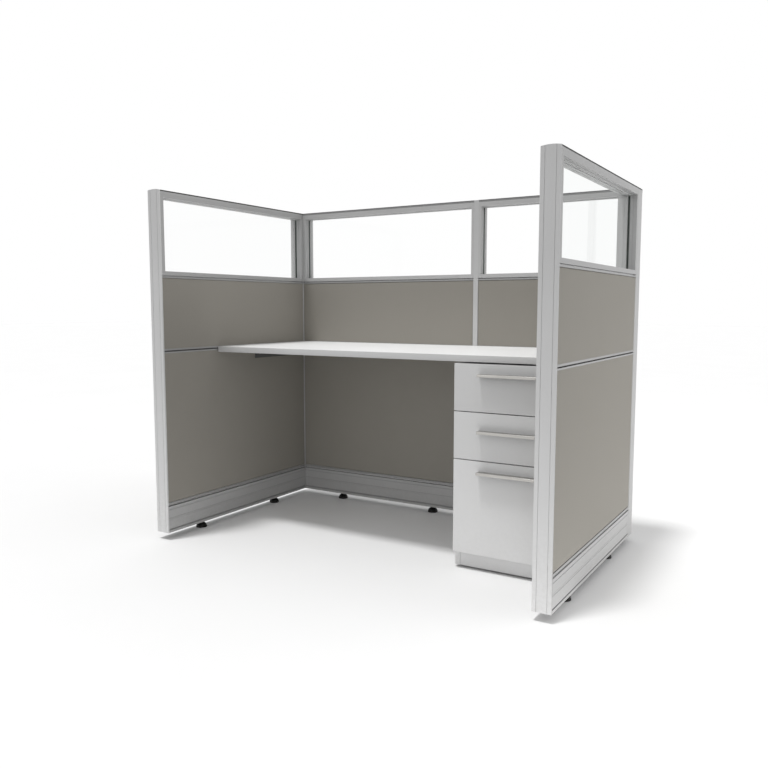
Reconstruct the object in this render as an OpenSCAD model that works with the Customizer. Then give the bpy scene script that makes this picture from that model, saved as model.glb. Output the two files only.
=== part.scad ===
// Cubicle workstation: two side panels and a back run of two panels, a worksurface between
// them and a three-drawer pedestal under its right end.
// Origin: on the floor, in the middle of the width and of the depth.
// X runs to the right, Y to the back and Z up, seen by the person who sits at it.

/* [Panels] */
// Thickness of every panel from face to face
panel_thickness = 61; // [52:1:90]
// Length of a side panel behind its end trim
side_panel_length = 901; // [760:1:1200]
// Length of the wide back panel
back_wide_length = 911; // [760:1:1200]
// Length of the narrow back panel
back_narrow_length = 600; // [560:1:900]
// Width of the post between the two back panels
joint_width = 13; // [10:0.5:25]
// Thickness of the trim that closes the front end of a side panel
end_trim_thickness = 6; // [4:0.5:12]
// Depth of a tile, from the steel frame to its upholstered face
tile_depth = 12; // [8:0.5:14]

/* [Panel heights] */
// Gap between the floor and the underside of the panels
glide_height = 29; // [22:1:45]
// Height of the base covers that close the cable raceway
base_cover_height = 106; // [95:1:160]
// Shadow gap between the base covers and the lower tiles
base_gap = 7; // [3:0.5:12]
// Height of the lower tiles with their edge trims
lower_tile_height = 614; // [500:1:720]
// Shadow gap between the lower and the upper tiles
tile_gap = 5; // [3:0.5:10]
// Height of the upper tiles with their edge trims
upper_tile_height = 290; // [200:1:400]
// Shadow gap between the upper tiles and the glazing
glazing_gap = 4; // [2:0.5:8]
// Height of a glazing frame
glazing_height = 314; // [200:1:450]
// Height of the top caps in the middle of their crown
cap_height = 15; // [12:0.5:25]

/* [Glazing] */
// Width of the glazing frame seen from the front
glazing_frame_width = 16; // [15:0.5:30]
// Thickness of the glass
glass_thickness = 5; // [3:0.5:8]

/* [Worksurface] */
// Height of the worksurface above the floor
worksurface_height = 766; // [700:1:820]
// Thickness of the worksurface
worksurface_thickness = 23; // [18:0.5:38]
// Depth of the worksurface from its front edge to the back panels
worksurface_depth = 607; // [600:1:760]

/* [Pedestal] */
// Width of the pedestal and of its drawer fronts
pedestal_width = 404; // [360:1:460]
// Gap between the back of the pedestal and the back panels
pedestal_back_gap = 32; // [5:1:120]
// Height of each of the two box drawer fronts
box_front_height = 167; // [150:1:185]
// Height of the pedestal base below the drawer fronts
pedestal_base_height = 54; // [46:0.5:80]
// Gap between the floor and the pedestal
pedestal_foot_height = 8; // [5:0.5:16]
// Thickness of the boards of the case and of the drawer fronts
board_thickness = 19; // [16:0.5:22]
// Gap between one drawer front and the next
front_gap = 3; // [2:0.5:5]

/* [Drawer pulls] */
// Length of a drawer pull
pull_length = 212; // [120:1:300]
// Height of the lip of a drawer pull
pull_height = 10; // [9:0.5:16]
// Distance that a drawer pull stands out from its front
pull_reach = 25; // [18:0.5:40]
// Distance from the end of a pull to the middle of its nearer stud
pull_stud_inset = 30; // [10:0.5:50]
// Drop from the top edge of the top drawer front to its pull
top_pull_drop = 39; // [25:1:80]
// Drop from the top edge of the middle drawer front to its pull
middle_pull_drop = 66; // [25:1:100]
// Drop from the top edge of the file drawer front to its pull
file_pull_drop = 40; // [25:1:80]

/* [Hidden] */
$fn = 48;

// Overrun of every cut past the face that it leaves
overrun = 1;
// Hairline gap between two pieces that meet in one group
joint_fit = 0.2;

// Plan: the places that follow from the panels
bay_width = back_wide_length + joint_width + back_narrow_length;
front_y = -(end_trim_thickness + side_panel_length + panel_thickness) / 2;
side_start_y = front_y + end_trim_thickness;
back_inner_y = side_start_y + side_panel_length;
panel_face = panel_thickness / 2;
core_depth = panel_thickness - 2 * tile_depth;

// Heights: the stack of one panel from the floor up
base_top = glide_height + base_cover_height;
lower_tile_bottom = base_top + base_gap;
lower_tile_top = lower_tile_bottom + lower_tile_height;
upper_tile_bottom = lower_tile_top + tile_gap;
upper_tile_top = upper_tile_bottom + upper_tile_height;
glazing_bottom = upper_tile_top + glazing_gap;
cap_bottom = glazing_bottom + glazing_height;
panel_top = cap_bottom + cap_height;

// Steel frame inside each panel
frame_rise = 4;
upright_width = 22;
tube_wall = 1.6;
bottom_rail_height = 30;
rail_lap = 12;
frame_bottom = glide_height + frame_rise;

// Tiles and their edge trims
tile_side_gap = 1;
tile_edge_radius = 3;
bottom_trim_height = 9;
split_trim_height = 7;
top_trim_height = 6;
trim_lip = 2;

// Base covers
cover_wall = 4;
cover_lip = 2.5;
cover_foot_height = 10;
low_groove_height = 6;
low_groove_depth = 3;
middle_groove_bottom = 53;
middle_groove_height = 8;
middle_groove_depth = 1;
top_groove_drop = 14;
top_groove_height = 3;
top_groove_depth = 1;

// Glazing frame, glass and gasket
profile_wall = 2;
glazing_groove_depth = 9;
gasket_side = 1.5;
gasket_base = 2;
gasket_stand = 1.5;
bead_offset = 17;
bead_width = 1.5;
bead_depth = 1;
glazing_groove_width = glass_thickness + 2 * gasket_side;
glass_inset = glazing_frame_width - glazing_groove_depth + gasket_base;

// Top caps, end trims and posts
crown_rise = 3;
crown_lip = 0.8;
crown_line_height = 2.2;
crown_line_depth = 2.5;
cap_wall = 4;
cap_channel_height = 8;
trim_groove_inset = 13.5;
trim_groove_width = 1.6;
trim_groove_depth = 1.2;
post_wall = 3;
post_corner_radius = 3;
strip_width = 22;
strip_depth = 2.5;
joint_overlap = (strip_width - joint_width) / 2;
crown_radius = (pow(panel_face, 2) + pow(crown_rise, 2)) / (2 * crown_rise);
joint_setback = joint_overlap + joint_fit;
side_tile_end = side_panel_length - tile_side_gap;
back_wide_tile_end = back_wide_length - joint_setback;
back_narrow_tile_end = back_narrow_length - tile_side_gap;

// Levelling glides
glide_inset = 208;
foot_radius = 22.5;
foot_top_gap = 5;
foot_height = glide_height - foot_top_gap;
foot_profile_shares = [
    [0, 0], [1, 0], [1, 0.14], [0.96, 0.3], [0.86, 0.5], [0.7, 0.68], [0.5, 0.82], [0.46, 0.84], [0.46, 1], [0, 1]
];
foot_socket_depth = 9;
stem_radius = 5;
stem_clearance = 0.1;
stem_nut_height = 8;
stem_nut_radius = 9.8;
stem_end_gap = 3;

// Connector bolts between frames and posts
bolt_height_shares = [0.2, 0.5, 0.85];
bolt_stagger = 30;
bolt_radius = 4;
bolt_clearance = 0.1;
bolt_head_radius = 7.2;
bolt_head_height = 5.3;
bolt_nut_height = 6.5;
bolt_tip = 3;

// Worksurface and what carries it
worksurface_clearance = 1;
worksurface_size = [bay_width - 2 * worksurface_clearance, worksurface_depth - worksurface_clearance];
edge_band_thickness = 2;
worksurface_corner_radius = 8;
worksurface_bottom = worksurface_height - worksurface_thickness;
worksurface_front_y = back_inner_y - worksurface_depth;
support_leg = 40;
support_thickness = 3;
side_support_back_gap = 66;
side_support_length = 300;
side_support_screw_inset = 30;
side_support_screw_shares = [0, 0.5, 1];
back_support_length = 60;
back_wide_support_shares = [0.3, 0.8];
back_narrow_support_shares = [0.2];
screw_radius = 2.1;
screw_head_radius = 4.2;
screw_head_height = 2.4;
screw_clearance = 0.1;
board_screw_bite = 15;
rail_screw_bite = 6;
spacer_radius = 16;

// The deep rail backs the gap between the tiles and takes the worksurface screws
deep_rail_bottom = min(lower_tile_top, worksurface_bottom - support_leg) - rail_lap;
deep_rail_top = max(upper_tile_bottom, worksurface_bottom) + rail_lap;

// Pedestal case
pedestal_side_gap = 4;
spacer_height = 6;
bumper_gap = 2;
kick_recess = 2;
case_back_thickness = 12;
front_edge_radius = 1.5;
pedestal_foot_radius = 9;
pedestal_foot_inset = 40;
pedestal_screw_inset = 60;
pedestal_left = bay_width / 2 - pedestal_side_gap - pedestal_width;
pedestal_top = worksurface_bottom - spacer_height;
pedestal_base_top = pedestal_foot_height + pedestal_base_height;
pedestal_front_y = worksurface_front_y;
case_front_y = pedestal_front_y + board_thickness + bumper_gap;
case_inner_width = pedestal_width - 2 * board_thickness;
pedestal_depth = back_inner_y - pedestal_back_gap - case_front_y;

// Drawers
top_front_bottom = pedestal_top - box_front_height;
middle_front_bottom = top_front_bottom - front_gap - box_front_height;
file_front_height = middle_front_bottom - front_gap - pedestal_base_top;
box_top_drop = 30;
box_bottom_rise = 14;
drawer_back_clearance = 24;
drawer_length = pedestal_depth + bumper_gap - case_back_thickness - drawer_back_clearance;
drawer_side = 12;
drawer_bottom_thickness = 5;
drawer_bottom_rise = 8;
file_rail_thickness = 3;
file_rail_height = 16;
file_rail_stand = 7;
slide_space = 12.7;
drawer_left = pedestal_left + board_thickness + slide_space;
drawer_width = case_inner_width - 2 * slide_space;

// Drawer slides: nested channels, from the case inwards
slide_height = 45;
slide_end_gap = 20;
slide_length = drawer_length - slide_end_gap;
slide_sheet = 1.2;
slide_play = 0.5;
slide_setback = 3;
slide_drop = 61.5;
case_member_depth = 9.5;
middle_member_start = 3;
middle_member_end = 11;
drawer_member_start = 6;
middle_member_height = slide_height - 2 * slide_sheet - 2 * slide_play;
drawer_member_height = middle_member_height - 2 * slide_sheet - 2 * slide_play;

// Drawer pulls
pull_stud_spacing = pull_length - 2 * pull_stud_inset;
pull_wall = 3;
pull_edge_radius = 1.2;
pull_stud_radius = 2;
pull_stud_depth = 12;
pull_stud_clearance = 0.05;

// Places of the panels: each is drawn along X with its inner face towards -Y
module at_left_panel() {
    translate([-(bay_width + panel_thickness) / 2, side_start_y, 0])
        rotate([0, 0, 90])
            children();
}
module at_right_panel() {
    mirror([1, 0, 0])
        at_left_panel()
            children();
}
module at_back_wide_panel() {
    translate([-bay_width / 2, back_inner_y + panel_face, 0])
        children();
}
module at_back_narrow_panel() {
    translate([bay_width / 2 - back_narrow_length, back_inner_y + panel_face, 0])
        children();
}
module at_left_corner() {
    translate([-(bay_width + panel_thickness) / 2, back_inner_y + panel_face, 0])
        children();
}
module at_right_corner() {
    mirror([1, 0, 0])
        at_left_corner()
            children();
}
module at_joint() {
    translate([-bay_width / 2 + back_wide_length + joint_width / 2, back_inner_y + panel_face, 0])
        children();
}

// Shapes that several pieces share
module rounded_rectangle(size, radius) {
    translate([radius, 0])
        square([size[0] - 2 * radius, size[1]]);
    translate([0, radius])
        square([size[0], size[1] - 2 * radius]);
    for (x = [radius, size[0] - radius])
        for (y = [radius, size[1] - radius])
            translate([x, y])
                circle(r = radius);
}
module front_rounded_rectangle(size, radius) {
    translate([radius, 0])
        square([size[0] - 2 * radius, size[1]]);
    translate([0, radius])
        square([size[0], size[1] - radius]);
    for (x = [radius, size[0] - radius])
        translate([x, radius])
            circle(r = radius);
}
module extrude_along_x(length) {
    rotate([90, 0, 90])
        linear_extrude(length)
            children();
}
module extrude_along_y(length) {
    translate([0, length, 0])
        rotate([90, 0, 0])
            linear_extrude(length)
                children();
}

// Outline of a panel's end up to its crowned top, as Y and Z
module crowned_outline(bottom) {
    intersection() {
        translate([-panel_face, bottom])
            square([panel_thickness, panel_top - bottom]);
        union() {
            translate([0, panel_top - crown_radius])
                circle(r = crown_radius, $fn = 360);
            translate([-panel_face, bottom])
                square([panel_thickness, panel_top - bottom - crown_rise - overrun]);
        }
    }
}

// Places of the fixings. A child is drawn with its head below zero and its shank upwards.
function frame_height() = glazing_bottom - frame_bottom;
function bolt_height(share) = frame_bottom + share * frame_height();
module each_side_bolt() {
    for (share = bolt_height_shares)
        translate([side_panel_length - upright_width, 0, bolt_height(share) - bolt_stagger])
            rotate([0, 90, 0])
                children();
}
module each_corner_bolt(length) {
    for (share = bolt_height_shares)
        translate([length, 0, bolt_height(share)])
            rotate([0, -90, 0])
                children();
}
module each_joint_bolt() {
    for (share = bolt_height_shares)
        translate([-joint_width / 2 - upright_width, 0, bolt_height(share)])
            rotate([0, 90, 0])
                children();
}
function side_support_start() = back_inner_y - side_support_back_gap - side_support_length - side_start_y;
function side_screw_places() = [
    for (share = side_support_screw_shares)
        side_support_start() + side_support_screw_inset
            + share * (side_support_length - 2 * side_support_screw_inset)
];
function share_places(shares, length) = [for (share = shares) share * length];
module each_rail_screw(places) {
    for (x = places)
        translate([x, -panel_face - support_thickness, worksurface_bottom - support_leg / 2])
            rotate([-90, 0, 0])
                children();
}
module each_board_screw(places) {
    for (x = places)
        translate([x, -panel_face - support_leg / 2, worksurface_bottom - support_thickness])
            children();
}
module each_bracket_screw() {
    at_left_panel()
        each_board_screw(side_screw_places())
            children();
    at_back_wide_panel()
        each_board_screw(share_places(back_wide_support_shares, back_wide_length))
            children();
    at_back_narrow_panel()
        each_board_screw(share_places(back_narrow_support_shares, back_narrow_length))
            children();
}
module each_pedestal_screw() {
    for (x = [pedestal_screw_inset, pedestal_width - pedestal_screw_inset])
        for (y = [pedestal_screw_inset, pedestal_depth - pedestal_screw_inset])
            translate([pedestal_left + x, case_front_y + y, pedestal_top - board_thickness])
                children();
}

// One fixing of each kind, and the hole that it needs
module hex_fixing(grip, radius, head_radius, head_height, nut_height, tip, clearance) {
    translate([0, 0, -head_height])
        cylinder(h = head_height, r = head_radius, $fn = 6);
    cylinder(h = grip + nut_height + tip, r = radius);
    translate([0, 0, grip])
        difference() {
            cylinder(h = nut_height, r = head_radius, $fn = 6);
            translate([0, 0, -overrun])
                cylinder(h = nut_height + 2 * overrun, r = radius + clearance);
        }
}
module connector_bolt(grip) {
    hex_fixing(grip, bolt_radius, bolt_head_radius, bolt_head_height, bolt_nut_height,
        bolt_tip, bolt_clearance);
}
module bolt_hole(length) {
    translate([0, 0, -overrun])
        cylinder(h = length + 2 * overrun, r = bolt_radius + bolt_clearance);
}
module screw(length) {
    translate([0, 0, -screw_head_height])
        cylinder(h = screw_head_height, r = screw_head_radius);
    cylinder(h = length, r = screw_radius);
}
module screw_hole(length) {
    translate([0, 0, -overrun])
        cylinder(h = length + overrun, r = screw_radius + screw_clearance);
}

// Steel frame of one panel: two upright tubes and four rail tubes
module upright() {
    linear_extrude(frame_height())
        difference() {
            translate([0, -core_depth / 2])
                square([upright_width, core_depth]);
            translate([tube_wall, -core_depth / 2 + tube_wall])
                square([upright_width - 2 * tube_wall, core_depth - 2 * tube_wall]);
        }
}
module rail(length, bottom, top) {
    translate([upright_width + joint_fit, 0, bottom])
        extrude_along_x(length - 2 * upright_width - 2 * joint_fit)
            difference() {
                translate([-core_depth / 2, 0])
                    square([core_depth, top - bottom]);
                translate([-core_depth / 2 + tube_wall, tube_wall])
                    square([core_depth - 2 * tube_wall, top - bottom - 2 * tube_wall]);
            }
}
module glide_stem_places(length) {
    for (x = [glide_inset, length - glide_inset])
        translate([x, 0, 0])
            children();
}
module bottom_rail(length) {
    difference() {
        rail(length, frame_bottom, frame_bottom + bottom_rail_height);
        glide_stem_places(length)
            translate([0, 0, frame_bottom - overrun])
                cylinder(h = bottom_rail_height + 2 * overrun, r = stem_radius + stem_clearance);
    }
}
module panel_frame(length, screw_places) {
    translate([0, 0, frame_bottom])
        upright();
    translate([length - upright_width, 0, frame_bottom])
        upright();
    bottom_rail(length);
    rail(length, base_top - rail_lap, lower_tile_bottom + rail_lap);
    difference() {
        rail(length, deep_rail_bottom, deep_rail_top);
        each_rail_screw(screw_places)
            screw_hole(support_thickness + tile_depth + tube_wall + overrun);
    }
    rail(length, upper_tile_top - rail_lap, glazing_bottom);
}
module left_frame() {
    color("silver")
        at_left_panel()
            difference() {
                panel_frame(side_panel_length, side_screw_places());
                each_side_bolt()
                    bolt_hole(upright_width);
            }
}
module right_frame() {
    color("silver")
        at_right_panel()
            difference() {
                panel_frame(side_panel_length, []);
                each_side_bolt()
                    bolt_hole(upright_width);
            }
}
module back_wide_frame() {
    color("silver")
        difference() {
            at_back_wide_panel()
                difference() {
                    panel_frame(back_wide_length,
                        share_places(back_wide_support_shares, back_wide_length));
                    each_corner_bolt(upright_width)
                        bolt_hole(upright_width);
                }
            at_joint()
                each_joint_bolt()
                    bolt_hole(upright_width);
        }
}
module back_narrow_frame() {
    color("silver")
        difference() {
            at_back_narrow_panel()
                difference() {
                    panel_frame(back_narrow_length,
                        share_places(back_narrow_support_shares, back_narrow_length));
                    translate([back_narrow_length, 0, 0])
                        mirror([1, 0, 0])
                            each_corner_bolt(upright_width)
                                bolt_hole(upright_width);
                }
            at_joint()
                each_joint_bolt()
                    bolt_hole(2 * upright_width + joint_width);
        }
}

// Glazing frame: four mitred aluminium bars with a groove for the glass
module glazing_section() {
    chamber_start = glazing_groove_width / 2 + profile_wall;
    difference() {
        translate([-panel_face, 0])
            square([panel_thickness, glazing_frame_width]);
        translate([-glazing_groove_width / 2, glazing_frame_width - glazing_groove_depth])
            square([glazing_groove_width, glazing_groove_depth + overrun]);
        for (side = [-1, 1])
            translate([side * bead_offset - bead_width / 2, glazing_frame_width - bead_depth])
                square([bead_width, bead_depth + overrun]);
        for (side = [0, 1])
            mirror([side, 0])
                translate([chamber_start, profile_wall])
                    square([
                        panel_face - profile_wall - chamber_start,
                        glazing_frame_width - bead_depth - 2 * profile_wall
                    ]);
    }
}
module mitred_bar(length) {
    intersection() {
        extrude_along_x(length)
            glazing_section();
        translate([0, panel_face + overrun, 0])
            rotate([90, 0, 0])
                linear_extrude(panel_thickness + 2 * overrun)
                    polygon([
                        [joint_fit, 0],
                        [length - joint_fit, 0],
                        [length - glazing_frame_width - joint_fit, glazing_frame_width],
                        [glazing_frame_width + joint_fit, glazing_frame_width]
                    ]);
    }
}
module upright_bar() {
    rotate([0, -90, 0])
        mitred_bar(glazing_height);
}
module glazing_frame(length) {
    translate([0, 0, glazing_bottom]) {
        mitred_bar(length);
        translate([0, 0, glazing_height])
            mirror([0, 0, 1])
                mitred_bar(length);
        mirror([1, 0, 0])
            upright_bar();
        translate([length, 0, 0])
            upright_bar();
    }
}
module joint_notch(bottom, top) {
    for (side = [0, 1])
        mirror([0, side, 0])
            translate([-strip_width / 2 - joint_fit, panel_face - strip_depth - joint_fit, bottom - overrun])
                cube([
                    strip_width + 2 * joint_fit,
                    strip_depth + joint_fit + overrun,
                    top - bottom + 2 * overrun
                ]);
}
module left_glazing_frame() {
    color("silver")
        at_left_panel()
            glazing_frame(side_panel_length);
}
module right_glazing_frame() {
    color("silver")
        at_right_panel()
            glazing_frame(side_panel_length);
}
module back_wide_glazing_frame() {
    color("silver")
        difference() {
            at_back_wide_panel()
                glazing_frame(back_wide_length);
            at_joint()
                joint_notch(glazing_bottom, cap_bottom);
        }
}
module back_narrow_glazing_frame() {
    color("silver")
        difference() {
            at_back_narrow_panel()
                glazing_frame(back_narrow_length);
            at_joint()
                joint_notch(glazing_bottom, cap_bottom);
        }
}

// Glass pane, held by the gasket in the groove of its frame
module glass_pane(length) {
    translate([glass_inset, -glass_thickness / 2, glazing_bottom + glass_inset])
        cube([length - 2 * glass_inset, glass_thickness, glazing_height - 2 * glass_inset]);
}
module left_glass() {
    color("azure", 0.3)
        at_left_panel()
            glass_pane(side_panel_length);
}
module right_glass() {
    color("azure", 0.3)
        at_right_panel()
            glass_pane(side_panel_length);
}
module back_wide_glass() {
    color("azure", 0.3)
        at_back_wide_panel()
            glass_pane(back_wide_length);
}
module back_narrow_glass() {
    color("azure", 0.3)
        at_back_narrow_panel()
            glass_pane(back_narrow_length);
}

// Rubber gasket round the edge of every pane
module gasket(length) {
    outer_inset = glazing_frame_width - glazing_groove_depth;
    inner_inset = glazing_frame_width + gasket_stand;
    difference() {
        translate([outer_inset, -glazing_groove_width / 2, glazing_bottom + outer_inset])
            cube([
                length - 2 * outer_inset,
                glazing_groove_width,
                glazing_height - 2 * outer_inset
            ]);
        glass_pane(length);
        translate([inner_inset, -panel_face, glazing_bottom + inner_inset])
            cube([
                length - 2 * inner_inset,
                panel_thickness,
                glazing_height - 2 * inner_inset
            ]);
    }
}
module glazing_gaskets() {
    color("dimgray") {
        at_left_panel()
            gasket(side_panel_length);
        at_right_panel()
            gasket(side_panel_length);
        at_back_wide_panel()
            gasket(back_wide_length);
        at_back_narrow_panel()
            gasket(back_narrow_length);
    }
}

// Crowned cap on top of each panel, hollow underneath, with a shadow line under the crown
module cap_outline() {
    difference() {
        crowned_outline(cap_bottom);
        for (side = [0, 1])
            mirror([side, 0])
                translate([-panel_face - overrun, panel_top - crown_rise - crown_lip - crown_line_height])
                    square([crown_line_depth + overrun, crown_line_height]);
    }
}
module top_cap(length) {
    extrude_along_x(length)
        difference() {
            cap_outline();
            translate([-panel_face + cap_wall, cap_bottom - overrun])
                square([panel_thickness - 2 * cap_wall, cap_channel_height + overrun]);
        }
}
module left_top_cap() {
    color("silver")
        at_left_panel()
            top_cap(side_panel_length);
}
module right_top_cap() {
    color("silver")
        at_right_panel()
            top_cap(side_panel_length);
}
module back_wide_top_cap() {
    color("silver")
        difference() {
            at_back_wide_panel()
                top_cap(back_wide_length);
            at_joint()
                joint_notch(cap_bottom, panel_top);
        }
}
module back_narrow_top_cap() {
    color("silver")
        difference() {
            at_back_narrow_panel()
                top_cap(back_narrow_length);
            at_joint()
                joint_notch(cap_bottom, panel_top);
        }
}

// Upholstered tiles: a lower and an upper one on each face of a panel
module tile(start, end, bottom, top) {
    translate([start, -panel_face, bottom])
        linear_extrude(top - bottom)
            front_rounded_rectangle([end - start, tile_depth], tile_edge_radius);
}
module tile_pair(start, end, screw_places) {
    difference() {
        union() {
            tile(start, end, lower_tile_bottom + bottom_trim_height, lower_tile_top - top_trim_height);
            tile(start, end, upper_tile_bottom + split_trim_height, upper_tile_top - top_trim_height);
        }
        each_rail_screw(screw_places)
            screw_hole(support_thickness + tile_depth + overrun);
    }
}
module outer_side() {
    mirror([0, 1, 0])
        children();
}
module left_inner_tiles() {
    color("darkgray")
        at_left_panel()
            tile_pair(tile_side_gap, side_tile_end, side_screw_places());
}
module left_outer_tiles() {
    color("darkgray")
        at_left_panel()
            outer_side()
                tile_pair(tile_side_gap, side_tile_end, []);
}
module right_inner_tiles() {
    color("darkgray")
        at_right_panel()
            tile_pair(tile_side_gap, side_tile_end, []);
}
module right_outer_tiles() {
    color("darkgray")
        at_right_panel()
            outer_side()
                tile_pair(tile_side_gap, side_tile_end, []);
}
module back_wide_inner_tiles() {
    color("darkgray")
        at_back_wide_panel()
            tile_pair(tile_side_gap, back_wide_tile_end,
                share_places(back_wide_support_shares, back_wide_length));
}
module back_wide_outer_tiles() {
    color("darkgray")
        at_back_wide_panel()
            outer_side()
                tile_pair(tile_side_gap, back_wide_tile_end, []);
}
module back_narrow_inner_tiles() {
    color("darkgray")
        at_back_narrow_panel()
            tile_pair(joint_setback, back_narrow_tile_end,
                share_places(back_narrow_support_shares, back_narrow_length));
}
module back_narrow_outer_tiles() {
    color("darkgray")
        at_back_narrow_panel()
            outer_side()
                tile_pair(joint_setback, back_narrow_tile_end, []);
}

// Aluminium edge trims along the top and the bottom of every tile
module edge_trim(start, end, bottom, height, lip_at_top) {
    lip_bottom = lip_at_top ? height - trim_lip : 0;
    translate([start, 0, bottom])
        extrude_along_x(end - start) {
            translate([-panel_face, joint_fit])
                square([trim_lip, height - 2 * joint_fit]);
            translate([-panel_face, lip_bottom])
                square([tile_depth, trim_lip]);
        }
}
module edge_trims(start, end) {
    edge_trim(start, end, lower_tile_bottom, bottom_trim_height, false);
    edge_trim(start, end, lower_tile_top - top_trim_height, top_trim_height, true);
    edge_trim(start, end, upper_tile_bottom, split_trim_height, false);
    edge_trim(start, end, upper_tile_top - top_trim_height, top_trim_height, true);
}
module edge_trims_both_sides(start, end) {
    edge_trims(start, end);
    outer_side()
        edge_trims(start, end);
}
module tile_edge_trims() {
    color("lightgray") {
        at_left_panel()
            edge_trims_both_sides(tile_side_gap, side_tile_end);
        at_right_panel()
            edge_trims_both_sides(tile_side_gap, side_tile_end);
        at_back_wide_panel()
            edge_trims_both_sides(tile_side_gap, back_wide_tile_end);
        at_back_narrow_panel()
            edge_trims_both_sides(joint_setback, back_narrow_tile_end);
    }
}

// Base covers: grooved channels that close the raceway on both faces
module base_cover(start, end) {
    translate([start, 0, glide_height])
        extrude_along_x(end - start)
            difference() {
                translate([-panel_face, 0])
                    square([tile_depth, base_cover_height]);
                translate([-panel_face + cover_wall, cover_lip])
                    square([tile_depth, base_cover_height - 2 * cover_lip]);
                translate([-panel_face - overrun, cover_foot_height])
                    square([low_groove_depth + overrun, low_groove_height]);
                translate([-panel_face - overrun, middle_groove_bottom])
                    square([middle_groove_depth + overrun, middle_groove_height]);
                translate([-panel_face - overrun, base_cover_height - top_groove_drop])
                    square([top_groove_depth + overrun, top_groove_height]);
            }
}
module base_covers_both_sides(start, end) {
    base_cover(start, end);
    outer_side()
        base_cover(start, end);
}
module left_base_covers() {
    color("lightgray")
        at_left_panel()
            base_covers_both_sides(tile_side_gap, side_tile_end);
}
module right_base_covers() {
    color("lightgray")
        at_right_panel()
            base_covers_both_sides(tile_side_gap, side_tile_end);
}
module back_wide_base_covers() {
    color("lightgray")
        at_back_wide_panel()
            base_covers_both_sides(tile_side_gap, back_wide_tile_end);
}
module back_narrow_base_covers() {
    color("lightgray")
        at_back_narrow_panel()
            base_covers_both_sides(joint_setback, back_narrow_tile_end);
}

// Corner posts: the four walls of a square tube that two panels bolt to
module corner_post_section() {
    difference() {
        rounded_rectangle([panel_thickness, panel_thickness], post_corner_radius);
        translate([post_wall, post_wall])
            square([panel_thickness - 2 * post_wall, panel_thickness - 2 * post_wall]);
        for (x = [post_wall, panel_thickness - post_wall - joint_fit])
            translate([x, -overrun])
                square([joint_fit, panel_thickness + 2 * overrun]);
    }
}
module corner_post() {
    difference() {
        translate([-panel_face, -panel_face, glide_height])
            linear_extrude(cap_bottom - glide_height)
                corner_post_section();
        translate([panel_face + upright_width, 0, 0])
            each_corner_bolt(0)
                bolt_hole(upright_width + post_wall);
        translate([0, -panel_face - side_panel_length, 0])
            rotate([0, 0, 90])
                each_side_bolt()
                    bolt_hole(upright_width + post_wall);
    }
}
module left_corner_post() {
    color("silver")
        at_left_corner()
            corner_post();
}
module right_corner_post() {
    color("silver")
        at_right_corner()
            corner_post();
}

// Cap of a corner post, crowned both ways like the panel caps that meet it
module corner_post_cap() {
    intersection() {
        translate([-panel_face, 0, 0])
            extrude_along_x(panel_thickness)
                cap_outline();
        rotate([0, 0, 90])
            translate([-panel_face, 0, 0])
                extrude_along_x(panel_thickness)
                    cap_outline();
    }
}
module corner_post_caps() {
    color("silver") {
        at_left_corner()
            corner_post_cap();
        at_right_corner()
            corner_post_cap();
    }
}

// End trim: a grooved face over the front end of a side panel
module end_trim() {
    difference() {
        translate([-end_trim_thickness, 0, 0])
            extrude_along_x(end_trim_thickness)
                crowned_outline(glide_height);
        for (side = [-1, 1])
            translate([
                -end_trim_thickness - overrun,
                side * (panel_face - trim_groove_inset) - trim_groove_width / 2,
                glide_height - overrun
            ])
                cube([
                    trim_groove_depth + overrun,
                    trim_groove_width,
                    panel_top - glide_height + 2 * overrun
                ]);
    }
}
module left_end_trim() {
    color("gainsboro")
        at_left_panel()
            end_trim();
}
module right_end_trim() {
    color("gainsboro")
        at_right_panel()
            end_trim();
}

// Joint post between the two back panels, with a cover strip on both faces
module joint_post_outline() {
    difference() {
        translate([-strip_width / 2, -panel_face])
            square([strip_width, panel_thickness]);
        for (side = [0, 1])
            mirror([side, 0])
                translate([joint_width / 2, -panel_face + strip_depth])
                    square([joint_overlap + overrun, panel_thickness - 2 * strip_depth]);
    }
}
module joint_post_hollow() {
    hollow_width = joint_width - 2 * profile_wall;
    hollow_depth = panel_thickness - 2 * strip_depth - 2 * profile_wall;
    translate([-hollow_width / 2, -hollow_depth / 2])
        square([hollow_width, hollow_depth]);
}
module inline_joint_post() {
    color("silver")
        at_joint()
            difference() {
                intersection() {
                    translate([0, 0, glide_height])
                        linear_extrude(panel_top - glide_height)
                            joint_post_outline();
                    translate([-strip_width / 2, 0, 0])
                        extrude_along_x(strip_width)
                            crowned_outline(glide_height);
                }
                translate([0, 0, glide_height - overrun])
                    linear_extrude(cap_bottom - glide_height + overrun)
                        joint_post_hollow();
                each_joint_bolt()
                    bolt_hole(2 * upright_width + joint_width);
            }
}

// Feet: domed discs on threaded stems under the panels, plain studs under the pedestal
module panel_foot() {
    difference() {
        rotate_extrude()
            polygon([
                for (point = foot_profile_shares)
                    [point[0] * foot_radius, point[1] * foot_height]
            ]);
        translate([0, 0, foot_height - foot_socket_depth])
            cylinder(h = foot_socket_depth + overrun, r = stem_radius + stem_clearance);
    }
}
module panel_stem() {
    stem_bottom = foot_height - foot_socket_depth;
    translate([0, 0, stem_bottom])
        cylinder(h = frame_bottom + bottom_rail_height - stem_end_gap - stem_bottom, r = stem_radius);
    translate([0, 0, frame_bottom - stem_nut_height])
        difference() {
            cylinder(h = stem_nut_height, r = stem_nut_radius, $fn = 6);
            translate([0, 0, -overrun])
                cylinder(h = stem_nut_height + 2 * overrun, r = stem_radius + stem_clearance);
        }
}
module each_glide() {
    at_left_panel()
        glide_stem_places(side_panel_length)
            children();
    at_right_panel()
        glide_stem_places(side_panel_length)
            children();
    at_back_wide_panel()
        glide_stem_places(back_wide_length)
            children();
    at_back_narrow_panel()
        glide_stem_places(back_narrow_length)
            children();
}
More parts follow.
